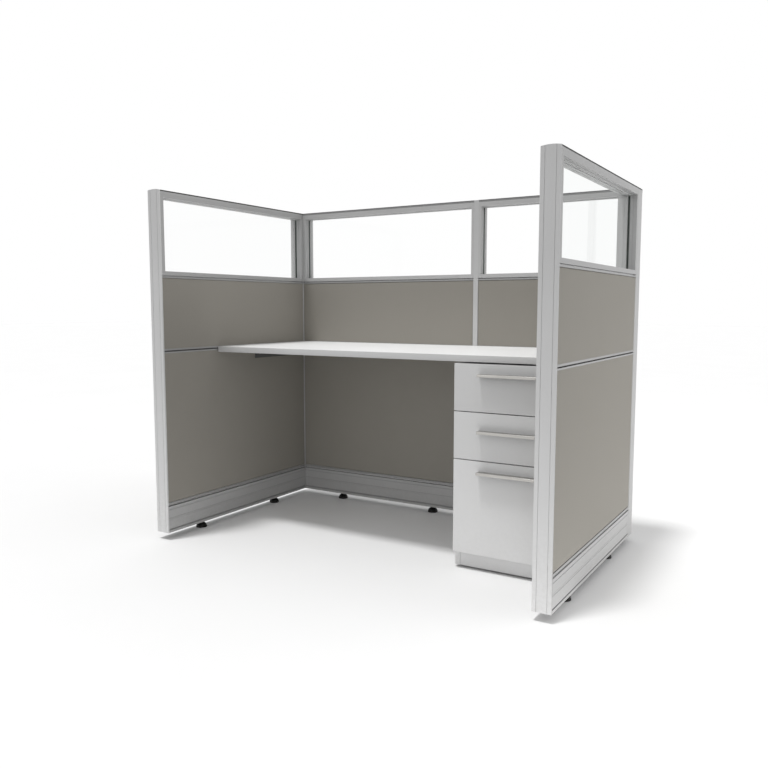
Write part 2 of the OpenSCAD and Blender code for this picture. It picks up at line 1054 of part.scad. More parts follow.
module levelling_feet() {
    color("black") {
        each_glide()
            panel_foot();
        for (x = [board_thickness / 2, pedestal_width - board_thickness / 2])
            for (y = [pedestal_foot_inset, pedestal_depth - pedestal_foot_inset])
                translate([pedestal_left + x, case_front_y + y, 0])
                    cylinder(h = pedestal_foot_height, r = pedestal_foot_radius);
    }
}
module levelling_stems() {
    color("gray")
        each_glide()
            panel_stem();
}

// Worksurface: a laminated board with a band round its front edge and its ends
module worksurface_outline(inset) {
    translate([-worksurface_size[0] / 2 + inset, worksurface_front_y + inset])
        front_rounded_rectangle(
            [worksurface_size[0] - 2 * inset, worksurface_size[1] - inset],
            worksurface_corner_radius - inset
        );
}
module worksurface() {
    color("white")
        difference() {
            translate([0, 0, worksurface_bottom])
                linear_extrude(worksurface_thickness)
                    worksurface_outline(edge_band_thickness);
            each_bracket_screw()
                screw_hole(support_thickness + board_screw_bite + overrun);
            each_pedestal_screw()
                screw_hole(board_thickness + spacer_height + board_screw_bite + overrun);
        }
}
module worksurface_edge_band() {
    color("lightgray")
        translate([0, 0, worksurface_bottom])
            linear_extrude(worksurface_thickness)
                difference() {
                    worksurface_outline(0);
                    worksurface_outline(edge_band_thickness);
                }
}

// Steel angles on the panels and spacers on the pedestal that carry the worksurface
module support_angle(middle, length) {
    translate([middle - length / 2, -panel_face - support_leg, worksurface_bottom - support_leg])
        extrude_along_x(length) {
            translate([support_leg - support_thickness, 0])
                square([support_thickness, support_leg]);
            translate([0, support_leg - support_thickness])
                square([support_leg, support_thickness]);
        }
}
module panel_supports(places, middles, length) {
    difference() {
        for (middle = middles)
            support_angle(middle, length);
        each_rail_screw(places)
            screw_hole(support_thickness + overrun);
        each_board_screw(places)
            screw_hole(support_thickness + overrun);
    }
}
module back_supports(shares, length) {
    places = share_places(shares, length);
    panel_supports(places, places, back_support_length);
}
module worksurface_supports() {
    color("dimgray") {
        at_left_panel()
            panel_supports(side_screw_places(), [side_support_start() + side_support_length / 2],
                side_support_length);
        at_back_wide_panel()
            back_supports(back_wide_support_shares, back_wide_length);
        at_back_narrow_panel()
            back_supports(back_narrow_support_shares, back_narrow_length);
        each_pedestal_screw()
            translate([0, 0, board_thickness])
                difference() {
                    cylinder(h = spacer_height, r = spacer_radius);
                    screw_hole(spacer_height + overrun);
                }
    }
}

// Bolts between frames and posts, and the screws of the worksurface
module rail_screws(places) {
    each_rail_screw(places)
        screw(support_thickness + tile_depth + rail_screw_bite);
}
module assembly_fasteners() {
    corner_grip = upright_width + post_wall;
    color("gray") {
        at_left_panel()
            each_side_bolt()
                connector_bolt(corner_grip);
        at_right_panel()
            each_side_bolt()
                connector_bolt(corner_grip);
        at_back_wide_panel()
            each_corner_bolt(upright_width)
                connector_bolt(corner_grip);
        at_back_narrow_panel()
            translate([back_narrow_length, 0, 0])
                mirror([1, 0, 0])
                    each_corner_bolt(upright_width)
                        connector_bolt(corner_grip);
        at_joint()
            each_joint_bolt()
                connector_bolt(2 * upright_width + joint_width);
        at_left_panel()
            rail_screws(side_screw_places());
        at_back_wide_panel()
            rail_screws(share_places(back_wide_support_shares, back_wide_length));
        at_back_narrow_panel()
            rail_screws(share_places(back_narrow_support_shares, back_narrow_length));
        each_bracket_screw()
            screw(support_thickness + board_screw_bite);
        each_pedestal_screw()
            screw(board_thickness + spacer_height + board_screw_bite);
    }
}

// Pedestal case: two sides, a top, a bottom and a back
module pedestal_case() {
    inner_left = board_thickness + joint_fit;
    inner_width = case_inner_width - 2 * joint_fit;
    side_height = pedestal_top - pedestal_foot_height;
    bottom_start = kick_recess + board_thickness + joint_fit;
    board_end = pedestal_depth - case_back_thickness - joint_fit;
    color("whitesmoke")
        translate([pedestal_left, case_front_y, 0]) {
            for (x = [0, pedestal_width - board_thickness])
                translate([x, 0, pedestal_foot_height])
                    cube([board_thickness, pedestal_depth, side_height]);
            difference() {
                translate([inner_left, 0, pedestal_top - board_thickness])
                    cube([inner_width, board_end, board_thickness]);
                translate([-pedestal_left, -case_front_y, 0])
                    each_pedestal_screw()
                        screw_hole(board_thickness + overrun);
            }
            translate([inner_left, bottom_start, pedestal_base_top - board_thickness])
                cube([inner_width, board_end - bottom_start, board_thickness]);
            translate([inner_left, pedestal_depth - case_back_thickness, pedestal_foot_height])
                cube([inner_width, case_back_thickness, side_height]);
        }
}
module pedestal_kick() {
    color("lightgray")
        translate([
            pedestal_left + board_thickness + joint_fit,
            case_front_y + kick_recess,
            pedestal_foot_height
        ])
            cube([case_inner_width - 2 * joint_fit, board_thickness, pedestal_base_height]);
}

// Drawer slides: three nested steel channels on each side of a drawer
function box_height(front_height) = front_height - box_top_drop - box_bottom_rise;
function slide_middle(front_bottom, front_height) =
    front_bottom + front_height - box_top_drop - slide_drop;
module on_both_case_sides(front_bottom, front_height) {
    translate([pedestal_left + pedestal_width / 2, case_front_y + slide_setback,
        slide_middle(front_bottom, front_height)])
        for (side = [0, 1])
            mirror([side, 0, 0])
                translate([-case_inner_width / 2, 0, 0])
                    extrude_along_y(slide_length)
                        children();
}
module channel(web_start, lip_end, height) {
    translate([web_start, -height / 2])
        square([slide_sheet, height]);
    for (z = [-height / 2, height / 2 - slide_sheet])
        translate([web_start, z])
            square([lip_end - web_start, slide_sheet]);
}
module case_member_pair(front_bottom, front_height) {
    on_both_case_sides(front_bottom, front_height)
        channel(0, case_member_depth, slide_height);
}
module middle_member_pair(front_bottom, front_height) {
    on_both_case_sides(front_bottom, front_height)
        channel(middle_member_start, middle_member_end, middle_member_height);
}
module drawer_member_pair(front_bottom, front_height) {
    on_both_case_sides(front_bottom, front_height)
        translate([drawer_member_start + slide_space, 0])
            mirror([1, 0])
                channel(drawer_member_start, slide_space, drawer_member_height);
}
module slide_case_members() {
    color("lightsteelblue") {
        case_member_pair(top_front_bottom, box_front_height);
        case_member_pair(middle_front_bottom, box_front_height);
        case_member_pair(pedestal_base_top, file_front_height);
    }
}
module top_slide_middle_members() {
    color("lightsteelblue")
        middle_member_pair(top_front_bottom, box_front_height);
}
module middle_slide_middle_members() {
    color("lightsteelblue")
        middle_member_pair(middle_front_bottom, box_front_height);
}
module file_slide_middle_members() {
    color("lightsteelblue")
        middle_member_pair(pedestal_base_top, file_front_height);
}
module top_drawer_slide_members() {
    color("lightsteelblue")
        drawer_member_pair(top_front_bottom, box_front_height);
}
module middle_drawer_slide_members() {
    color("lightsteelblue")
        drawer_member_pair(middle_front_bottom, box_front_height);
}
module file_drawer_slide_members() {
    color("lightsteelblue")
        drawer_member_pair(pedestal_base_top, file_front_height);
}

// Drawer fronts: full overlay boards, drilled for the studs of their pulls
module drawer_front(front_bottom, front_height, pull_drop) {
    difference() {
        translate([pedestal_left, pedestal_front_y, front_bottom])
            linear_extrude(front_height)
                front_rounded_rectangle([pedestal_width, board_thickness], front_edge_radius);
        at_pull_studs(front_bottom + front_height - pull_drop)
            translate([0, -overrun, 0])
                rotate([-90, 0, 0])
                    cylinder(
                        h = pull_stud_depth + overrun + joint_fit,
                        r = pull_stud_radius + pull_stud_clearance
                    );
    }
}
module at_pull_studs(height) {
    for (side = [-1, 1])
        translate([
            pedestal_left + pedestal_width / 2 + side * pull_stud_spacing / 2,
            pedestal_front_y,
            height
        ])
            children();
}
module top_drawer_front() {
    color("whitesmoke")
        drawer_front(top_front_bottom, box_front_height, top_pull_drop);
}
module middle_drawer_front() {
    color("whitesmoke")
        drawer_front(middle_front_bottom, box_front_height, middle_pull_drop);
}
module file_drawer_front() {
    color("whitesmoke")
        drawer_front(pedestal_base_top, file_front_height, file_pull_drop);
}

// Drawer boxes: four boards round a bottom panel
module drawer_box(front_bottom, front_height) {
    height = box_height(front_height);
    inner_width = drawer_width - 2 * drawer_side - 2 * joint_fit;
    inner_left = drawer_side + joint_fit;
    translate([drawer_left, pedestal_front_y + board_thickness, front_bottom + box_bottom_rise]) {
        for (x = [0, drawer_width - drawer_side])
            translate([x, 0, 0])
                cube([drawer_side, drawer_length, height]);
        for (y = [0, drawer_length - drawer_side])
            translate([inner_left, y, 0])
                cube([inner_width, drawer_side, height]);
        translate([inner_left, drawer_side + joint_fit, drawer_bottom_rise])
            cube([
                inner_width,
                drawer_length - 2 * drawer_side - 2 * joint_fit,
                drawer_bottom_thickness
            ]);
    }
}
module file_rails() {
    rail_bottom = pedestal_base_top + box_bottom_rise + box_height(file_front_height)
        + file_rail_stand - file_rail_height;
    rail_inset = drawer_side + joint_fit;
    for (x = [rail_inset, drawer_width - rail_inset - file_rail_thickness])
        translate([
            drawer_left + x,
            pedestal_front_y + board_thickness + rail_inset,
            rail_bottom
        ])
            cube([file_rail_thickness, drawer_length - 2 * rail_inset, file_rail_height]);
}
module top_drawer_box() {
    color("gainsboro")
        drawer_box(top_front_bottom, box_front_height);
}
module middle_drawer_box() {
    color("gainsboro")
        drawer_box(middle_front_bottom, box_front_height);
}
module file_drawer_box() {
    color("gainsboro") {
        drawer_box(pedestal_base_top, file_front_height);
        file_rails();
    }
}

// Drawer pulls: a ledge with a lip in front and a flange behind, whose studs go into the front,
// so that the fingers reach up into the channel between the two
module pull_section() {
    difference() {
        rounded_rectangle([pull_reach, pull_height], pull_edge_radius);
        translate([pull_wall, -overrun])
            square([pull_reach - 2 * pull_wall, pull_height - pull_wall + overrun]);
    }
}
module drawer_pull(height) {
    translate([
        pedestal_left + pedestal_width / 2 - pull_length / 2,
        pedestal_front_y - pull_reach,
        height - pull_height / 2
    ])
        extrude_along_x(pull_length)
            pull_section();
    at_pull_studs(height)
        rotate([-90, 0, 0])
            translate([0, 0, -pull_wall / 2])
                cylinder(h = pull_stud_depth + pull_wall / 2, r = pull_stud_radius);
}
module top_drawer_pull() {
    color("tan")
        drawer_pull(pedestal_top - top_pull_drop);
}
module middle_drawer_pull() {
    color("tan")
        drawer_pull(middle_front_bottom + box_front_height - middle_pull_drop);
}
module file_drawer_pull() {
    color("tan")
        drawer_pull(middle_front_bottom - front_gap - file_pull_drop);
}

left_frame();
back_wide_frame();
back_narrow_frame();
right_frame();
left_glazing_frame();
back_wide_glazing_frame();
back_narrow_glazing_frame();
right_glazing_frame();
left_glass();
back_wide_glass();
back_narrow_glass();
right_glass();
left_top_cap();
back_wide_top_cap();
back_narrow_top_cap();
right_top_cap();
left_inner_tiles();
back_wide_inner_tiles();
back_narrow_inner_tiles();
right_inner_tiles();
left_outer_tiles();
back_wide_outer_tiles();
back_narrow_outer_tiles();
right_outer_tiles();
left_base_covers();
back_wide_base_covers();
back_narrow_base_covers();
right_base_covers();
glazing_gaskets();
tile_edge_trims();
left_corner_post();
right_corner_post();
corner_post_caps();
left_end_trim();
right_end_trim();
inline_joint_post();
levelling_feet();
levelling_stems();
worksurface();
worksurface_edge_band();
worksurface_supports();
assembly_fasteners();
pedestal_case();
pedestal_kick();
slide_case_members();
top_slide_middle_members();
middle_slide_middle_members();
file_slide_middle_members();
top_drawer_front();
middle_drawer_front();
file_drawer_front();
top_drawer_box();
middle_drawer_box();
file_drawer_box();
top_drawer_pull();
middle_drawer_pull();
file_drawer_pull();
top_drawer_slide_members();
middle_drawer_slide_members();
file_drawer_slide_members();
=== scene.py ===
import math

import bmesh
import bpy
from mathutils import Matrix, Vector


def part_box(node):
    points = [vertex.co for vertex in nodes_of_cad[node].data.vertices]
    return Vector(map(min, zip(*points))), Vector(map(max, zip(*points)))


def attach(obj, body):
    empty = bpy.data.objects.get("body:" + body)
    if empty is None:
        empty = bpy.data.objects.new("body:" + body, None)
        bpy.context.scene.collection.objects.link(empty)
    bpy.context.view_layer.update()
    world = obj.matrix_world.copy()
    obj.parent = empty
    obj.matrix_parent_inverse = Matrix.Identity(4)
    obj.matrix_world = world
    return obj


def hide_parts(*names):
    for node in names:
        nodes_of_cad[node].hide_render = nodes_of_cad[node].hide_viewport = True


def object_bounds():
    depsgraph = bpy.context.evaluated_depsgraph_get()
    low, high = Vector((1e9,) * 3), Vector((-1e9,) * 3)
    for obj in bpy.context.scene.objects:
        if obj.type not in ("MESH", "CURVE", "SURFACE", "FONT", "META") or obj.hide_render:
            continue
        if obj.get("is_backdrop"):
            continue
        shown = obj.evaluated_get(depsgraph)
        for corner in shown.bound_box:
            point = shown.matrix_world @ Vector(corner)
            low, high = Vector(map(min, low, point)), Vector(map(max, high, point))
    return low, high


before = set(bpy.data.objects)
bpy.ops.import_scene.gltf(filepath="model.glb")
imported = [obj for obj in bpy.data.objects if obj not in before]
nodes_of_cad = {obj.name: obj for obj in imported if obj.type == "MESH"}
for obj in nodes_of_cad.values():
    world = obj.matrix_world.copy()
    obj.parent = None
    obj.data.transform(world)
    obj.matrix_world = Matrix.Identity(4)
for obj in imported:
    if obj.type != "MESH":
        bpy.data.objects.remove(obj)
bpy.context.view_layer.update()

# Levelling glides: domed feet of black glass-filled nylon under the panels, and plain studs under the
# pedestal, moulded with a fine spark grain. Each dome turns on a zinc-plated threaded stem with a lock
# nut, which screws up into the bottom rail, so that the run of panels can be brought level.


def start_finish(name):
    """A new material with its node tree, its shader and its object's own coordinates."""
    material = bpy.data.materials.new(name)
    material.use_nodes = True
    tree = material.node_tree
    shader = tree.nodes["Principled BSDF"]
    place = tree.nodes.new("ShaderNodeTexCoord").outputs["Object"]
    return material, tree, shader, place


def group_tree(name, inputs, outputs):
    """An empty node group with these sockets, and its two end nodes."""
    group = bpy.data.node_groups.new(name, "ShaderNodeTree")
    for label, kind in inputs:
        group.interface.new_socket(label, in_out="INPUT", socket_type="NodeSocket" + kind)
    for label, kind in outputs:
        group.interface.new_socket(label, in_out="OUTPUT", socket_type="NodeSocket" + kind)
    return group, group.nodes.new("NodeGroupInput"), group.nodes.new("NodeGroupOutput")


def feed(tree, socket, value):
    """Sets a socket to a plain value, or links it to what another node puts out."""
    if isinstance(value, bpy.types.NodeSocket):
        tree.links.new(value, socket)
    else:
        socket.default_value = value


def arithmetic(tree, operation, first, second=None):
    """A Math node on one or two sockets or numbers, and what it puts out."""
    node = tree.nodes.new("ShaderNodeMath")
    node.operation = operation
    feed(tree, node.inputs[0], first)
    if second is not None:
        feed(tree, node.inputs[1], second)
    return node.outputs["Value"]


def spread_to(tree, value, given, wanted):
    """Maps a value from the given range to the wanted one, with nothing outside it."""
    node = tree.nodes.new("ShaderNodeMapRange")
    tree.links.new(value, node.inputs["Value"])
    for label, limit in zip(("From Min", "From Max", "To Min", "To Max"), (*given, *wanted)):
        feed(tree, node.inputs[label], limit)
    return node.outputs["Result"]


def blend_colors(tree, share, first, second, kind="MIX"):
    """Blends two colours by a share."""
    node = tree.nodes.new("ShaderNodeMix")
    node.data_type = "RGBA"
    node.blend_type = kind
    for label, value in (("Factor", share), ("A", first), ("B", second)):
        feed(tree, node.inputs[label], value)
    return [socket for socket in node.outputs if socket.type == "RGBA"][0]


def cloud(tree, place, scale, detail=2.0, roughness=0.5):
    """A noise over the surface, from 0 to 1."""
    node = tree.nodes.new("ShaderNodeTexNoise")
    tree.links.new(place, node.inputs["Vector"])
    for label, value in (("Scale", scale), ("Detail", detail), ("Roughness", roughness)):
        feed(tree, node.inputs[label], value)
    return node.outputs["Fac"]


most_of_cloud = (0.3, 0.7)
full_range = (0.0, 1.0)
grain_share = 0.35
most_of_specks = (0.35, 0.75)
speck_strength = (0.15, 1.0)
dust_roughness = 0.3


def skin_group():
    """The skin of a coated or moulded surface: a fine grain over slow changes of tone and shine."""
    group, source, result = group_tree(
        "surface_skin",
        [("Place", "Vector"), ("Grain", "Float"), ("Patch", "Float"), ("Light Tone", "Color"),
         ("Dark Tone", "Color"), ("Smooth", "Float"), ("Rough", "Float")],
        [("Color", "Color"), ("Roughness", "Float"), ("Height", "Float")])
    at = source.outputs
    grain = cloud(group, at["Place"], at["Grain"], roughness=0.6)
    patch = cloud(group, at["Place"], at["Patch"], detail=3.0)
    fine = arithmetic(group, "MULTIPLY", grain, grain_share)
    slow = arithmetic(group, "MULTIPLY", patch, 1.0 - grain_share)
    tone = spread_to(group, arithmetic(group, "ADD", fine, slow), most_of_cloud, full_range)
    group.links.new(blend_colors(group, tone, at["Light Tone"], at["Dark Tone"]), result.inputs["Color"])
    shine = spread_to(group, patch, most_of_cloud, (at["Smooth"], at["Rough"]))
    group.links.new(shine, result.inputs["Roughness"])
    group.links.new(grain, result.inputs["Height"])
    return group


def dust_group():
    """Settled dust and scuffs that thicken towards the floor."""
    group, source, result = group_tree(
        "floor_dust",
        [("Place", "Vector"), ("Color", "Color"), ("Dust", "Color"), ("Reach", "Float"),
         ("Strength", "Float")],
        [("Color", "Color"), ("Mask", "Float")])
    at = source.outputs
    axes = group.nodes.new("ShaderNodeSeparateXYZ")
    group.links.new(at["Place"], axes.inputs["Vector"])
    low = spread_to(group, axes.outputs["Z"], (0.0, at["Reach"]), (1.0, 0.0))
    specks = cloud(group, at["Place"], scale=90.0, detail=5.0, roughness=0.7)
    specks = spread_to(group, specks, most_of_specks, speck_strength)
    mask = arithmetic(group, "MULTIPLY", arithmetic(group, "MULTIPLY", low, specks), at["Strength"])
    group.links.new(blend_colors(group, mask, at["Color"], at["Dust"]), result.inputs["Color"])
    group.links.new(mask, result.inputs["Mask"])
    return group


surface_skin = skin_group()
floor_dust = dust_group()


def add_group(tree, group, place, **values):
    """Places a node group in a material and sets or links its inputs."""
    node = tree.nodes.new("ShaderNodeGroup")
    node.node_tree = group
    tree.links.new(place, node.inputs["Place"])
    for label, value in values.items():
        feed(tree, node.inputs[label.replace("_", " ")], value)
    return node


def raise_grain(tree, shader, height, depth, strength=1.0):
    """Bumps the shader's normal by a height map, to this depth in metres."""
    bump = tree.nodes.new("ShaderNodeBump")
    bump.inputs["Distance"].default_value = depth
    bump.inputs["Strength"].default_value = strength
    tree.links.new(height, bump.inputs["Height"])
    tree.links.new(bump.outputs["Normal"], shader.inputs["Normal"])


def gray(level, warmth=0.0):
    """A colour of this brightness in sRGB, from 0 to 255, a little warmer where warmth is over 0."""
    linear = [((c / 255 + 0.055) / 1.055) ** 2.4 for c in (level + warmth, level, level - 2 * warmth)]
    return (*linear, 1.0)


dust_gray = gray(128, 4)


def coated(name, light, dark, grain=900.0, patch=3.0, smooth=0.38, rough=0.5, depth=0.00006, metallic=0.0,
           gloss=0.5, dust=0.25, reach=0.35):
    """A coated or moulded finish with its grain, its slow changes of tone and its dust near the floor."""
    material, tree, shader, place = start_finish(name)
    skin = add_group(tree, surface_skin, place, Grain=grain, Patch=patch, Light_Tone=light, Dark_Tone=dark,
                     Smooth=smooth, Rough=rough)
    dusty = add_group(tree, floor_dust, place, Color=skin.outputs["Color"], Dust=dust_gray, Reach=reach,
                      Strength=dust)
    tree.links.new(dusty.outputs["Color"], shader.inputs["Base Color"])
    dulled = arithmetic(tree, "MULTIPLY", dusty.outputs["Mask"], dust_roughness)
    roughness = arithmetic(tree, "ADD", skin.outputs["Roughness"], dulled)
    tree.links.new(roughness, shader.inputs["Roughness"])
    raise_grain(tree, shader, skin.outputs["Height"], depth)
    shader.inputs["Metallic"].default_value = metallic
    shader.inputs["Specular IOR Level"].default_value = gloss
    return material


def dress(finish, *names):
    """Gives CAD pieces this finish."""
    for name in names:
        piece = nodes_of_cad[name]
        piece.data.materials.clear()
        piece.data.materials.append(finish)


foot_nylon = coated("foot_nylon", gray(9), gray(6), grain=1400.0, patch=40.0, smooth=0.5, rough=0.62,
                    depth=0.0001, gloss=0.25, dust=0.08, reach=0.01)
zinc_plate = coated("zinc_plate", gray(176), gray(150, 2), grain=700.0, patch=120.0, smooth=0.22, rough=0.4,
                    depth=0.00003, metallic=1.0, dust=0.1)
dress(foot_nylon, "levelling_feet")
dress(zinc_plate, "levelling_stems")

# Panel frames: square steel tube, cut square and butted into a ladder with a deep rail behind the
# worksurface, powder-coated off-white after welding. Painted shade darkens the coat along the bottom
# rail and behind the gap between the tiles. Tiles, covers and glazing hang on this core.


def paint_over(finish, share, tone):
    """Blends this tone into a finish's colour by a share."""
    tree = finish.node_tree
    base = tree.nodes["Principled BSDF"].inputs["Base Color"]
    tree.links.new(blend_colors(tree, share, base.links[0].from_socket, tone), base)


def tint_between(finish, bottom, top, tone):
    """Gives a finish this tone between two heights."""
    tree = finish.node_tree
    axes = tree.nodes.new("ShaderNodeSeparateXYZ")
    tree.links.new(tree.nodes.new("ShaderNodeTexCoord").outputs["Object"], axes.inputs["Vector"])
    within = arithmetic(tree, "COMPARE", axes.outputs["Z"], (bottom + top) / 2)
    within.node.inputs[2].default_value = (top - bottom) / 2
    paint_over(finish, within, tone)


painted_base_shade_top = 0.06
painted_gap_shade = (0.748, 0.77)
core_powder = coated("core_powder", gray(236), gray(230), grain=600.0, smooth=0.5, rough=0.62, depth=0.0001)
# Painted shade: dark under the bottom rail, and grey behind the gap between the tiles.
tint_between(core_powder, 0.0, painted_base_shade_top, gray(62))
tint_between(core_powder, *painted_gap_shade, gray(120))
dress(core_powder, "left_frame", "back_wide_frame", "back_narrow_frame", "right_frame")

# Corner posts and in-line joint post: aluminium extrusions with small outer radii, in the satin
# silver powder coat that every trim shares. Its colour darkens at a slant, partly as metal flake does and
# partly as painted shade. Panels bolt to them from inside their end uprights.
flake_and_painted_shade = (0.75, 0.75, 0.75, 1.0)
nearly_edge_on = (0.76, 0.84)


def add_flake_and_painted_shade(finish, shade, slanted=(0.18, 0.34)):
    """Darkens a coat by this shade at a slant, though not nearly edge on: flake flop and painted shade."""
    tree = finish.node_tree
    slant = tree.nodes.new("ShaderNodeLayerWeight")
    slant.inputs["Blend"].default_value = 0.5
    facing = slant.outputs["Facing"]
    plain = tree.nodes["Principled BSDF"].inputs["Base Color"].links[0].from_socket
    dark = blend_colors(tree, 1.0, plain, shade, "MULTIPLY")
    turned = spread_to(tree, facing, slanted, full_range)
    in_view = spread_to(tree, facing, nearly_edge_on, (1.0, 0.0))
    paint_over(finish, arithmetic(tree, "MINIMUM", turned, in_view), dark)


post_silver = coated("post_silver", gray(198), gray(190), smooth=0.4, rough=0.5)
add_flake_and_painted_shade(post_silver, flake_and_painted_shade)
dress(post_silver, "left_corner_post", "right_corner_post", "inline_joint_post")

# Base covers: rigid extruded covers with moulded lines, which snap over both faces of each panel's
# base and close the cable raceway. Dust settles low on them, and painted shade darkens their grooves.
cover_silver = coated("cover_silver", gray(183), gray(175), smooth=0.45, rough=0.58, dust=0.35, reach=0.16)
# Painted shade in each groove: its bottom, its top and its tone.
painted_groove_shade = ((0.1208, 0.1242, 163), (0.0868, 0.0902, 158), (0.0388, 0.0452, 148))
for bottom, top, tone in painted_groove_shade:
    tint_between(cover_silver, bottom, top, gray(tone))
dress(cover_silver, "left_base_covers", "back_wide_base_covers", "back_narrow_base_covers",
      "right_base_covers")

# Upholstered tiles: fibre boards with woven polyester cloth pulled over their face and glued behind,
# so each face swells a little between soft, wrapped edges. They lie on both faces of each frame, a
# lower and an upper one with a narrow gap between.
tile_split = (0.756, 0.761)
wrap_radius = 0.004
cloth_swell = ((0.006, 0.0004), (0.014, 0.0003), (0.03, 0.0002))
faces_of_tiles = {
    "left_inner_tiles": (1, 0), "left_outer_tiles": (-1, 0),
    "right_inner_tiles": (-1, 0), "right_outer_tiles": (1, 0),
    "back_wide_inner_tiles": (0, -1), "back_wide_outer_tiles": (0, 1),
    "back_narrow_inner_tiles": (0, -1), "back_narrow_outer_tiles": (0, 1),
}
squarely = 0.99
yarn_wander = 0.0006
under_height = (0.55, 1.0)
over_share = 0.4
# How dark painted shade makes the lowest yarn, up to the highest.
painted_hollow_shade = (0.72, 1.0)
yarn_roughness = (0.82, 0.95)
handled_share = (0.0, 0.1)
handled_gray = gray(150, 3)
cloth_dust_gray = gray(150, 4)


def weave_group():
    """A plain weave on an upright face: warp over weft in turn, uneven yarn, painted shade in the hollows.
    """
    group, source, result = group_tree(
        "plain_weave",
        [("Place", "Vector"), ("Threads", "Float"), ("Warp", "Color"), ("Weft", "Color")],
        [("Color", "Color"), ("Roughness", "Float"), ("Height", "Float")])
    at = source.outputs
    axes = group.nodes.new("ShaderNodeSeparateXYZ")
    group.links.new(at["Place"], axes.inputs["Vector"])
    across = arithmetic(group, "ADD", axes.outputs["X"], axes.outputs["Y"])
    wander = arithmetic(group, "MULTIPLY", cloud(group, at["Place"], scale=60.0, detail=1.0), yarn_wander)
    cell = group.nodes.new("ShaderNodeCombineXYZ")
    cell.inputs["Z"].default_value = 0.5
    bows = []
    for run, axis in ((across, "X"), (axes.outputs["Z"], "Y")):
        thread = arithmetic(group, "MULTIPLY", arithmetic(group, "ADD", run, wander), at["Threads"])
        group.links.new(thread, cell.inputs[axis])
        wave = arithmetic(group, "SINE", arithmetic(group, "MULTIPLY", thread, math.pi))
        bows.append(arithmetic(group, "ABSOLUTE", wave))
    warp, weft = bows
    checks = group.nodes.new("ShaderNodeTexChecker")
    checks.inputs["Scale"].default_value = 1.0
    group.links.new(cell.outputs["Vector"], checks.inputs["Vector"])
    over = checks.outputs["Fac"]
    yarns = []
    for top, under in ((warp, weft), (weft, warp)):
        yarns.append(arithmetic(group, "MULTIPLY", top, spread_to(group, under, full_range, under_height)))
    upper_yarn = group.nodes.new("ShaderNodeMix")
    for label, yarn_height in (("Factor", over), ("A", yarns[1]), ("B", yarns[0])):
        group.links.new(yarn_height, upper_yarn.inputs[label])
    height = upper_yarn.outputs["Result"]
    slub = cloud(group, at["Place"], scale=420.0, detail=3.0, roughness=0.7)
    slub = spread_to(group, slub, most_of_cloud, full_range)
    crossed = arithmetic(group, "MULTIPLY", over, over_share)
    uneven = arithmetic(group, "MULTIPLY", slub, 1.0 - over_share)
    yarn = blend_colors(group, arithmetic(group, "ADD", crossed, uneven), at["Weft"], at["Warp"])
    # Painted shade: the yarn darkens where it lies low in the weave.
    shade = group.nodes.new("ShaderNodeCombineColor")
    for socket in shade.inputs[:3]:
        group.links.new(spread_to(group, height, full_range, painted_hollow_shade), socket)
    shaded = blend_colors(group, 1.0, yarn, shade.outputs["Color"], "MULTIPLY")
    group.links.new(shaded, result.inputs["Color"])
    group.links.new(spread_to(group, slub, full_range, yarn_roughness), result.inputs["Roughness"])
    group.links.new(height, result.inputs["Height"])
    return group


def cloth(name, warp, weft):
    """Woven cloth, with a soft sheen and slow changes of tone from handling."""
    material, tree, shader, place = start_finish(name)
    weave = add_group(tree, plain_weave, place, Threads=850.0, Warp=warp, Weft=weft)
    slow_change = cloud(tree, place, scale=4.0, detail=3.0, roughness=0.6)
    handled = spread_to(tree, slow_change, most_of_cloud, handled_share)
    tone = blend_colors(tree, handled, weave.outputs["Color"], handled_gray)
    dusty = add_group(tree, floor_dust, place, Color=tone, Dust=cloth_dust_gray, Reach=0.3, Strength=0.2)
    tree.links.new(dusty.outputs["Color"], shader.inputs["Base Color"])
    tree.links.new(weave.outputs["Roughness"], shader.inputs["Roughness"])
    shader.inputs["Sheen Weight"].default_value = 0.12
    shader.inputs["Sheen Roughness"].default_value = 0.45
    shader.inputs["Specular IOR Level"].default_value = 0.25
    raise_grain(tree, shader, weave.outputs["Height"], depth=0.0003, strength=0.7)
    return material


def pick_nothing():
    """Leaves no object selected."""
    if bpy.context.object and bpy.context.object.mode != "OBJECT":
        bpy.ops.object.mode_set(mode="OBJECT")
    bpy.ops.object.select_all(action="DESELECT")


def add_block(name, low, high):
    """A block between two corners, with its place in its mesh."""
    pick_nothing()
    low, high = Vector(low), Vector(high)
    bpy.ops.mesh.primitive_cube_add(size=1.0, location=(low + high) / 2)
    block = bpy.context.object
    block.name = block.data.name = name
    block.scale = high - low
    bpy.ops.object.transform_apply(location=True, rotation=True, scale=True)
    return block


def pick(piece, kind, wanted):
    """In edit mode, selects the faces or the edges that pass the test."""
    bpy.ops.object.mode_set(mode="EDIT")
    bpy.ops.mesh.select_mode(type=kind)
    bpy.ops.mesh.select_all(action="DESELECT")
    shape = bmesh.from_edit_mesh(piece.data)
    for part in shape.faces if kind == "FACE" else shape.edges:
        part.select_set(bool(wanted(part)))
    shape.select_flush_mode()
    bmesh.update_edit_mesh(piece.data)


def complete(piece, body, finish, angle=35.0):
    """Leaves edit mode, smooths the soft edges, and fixes the piece to its body and finish."""
    bpy.ops.object.mode_set(mode="OBJECT")
    bpy.ops.object.shade_smooth_by_angle(angle=math.radians(angle))
    piece.data.materials.clear()
    piece.data.materials.append(finish)
    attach(piece, body)


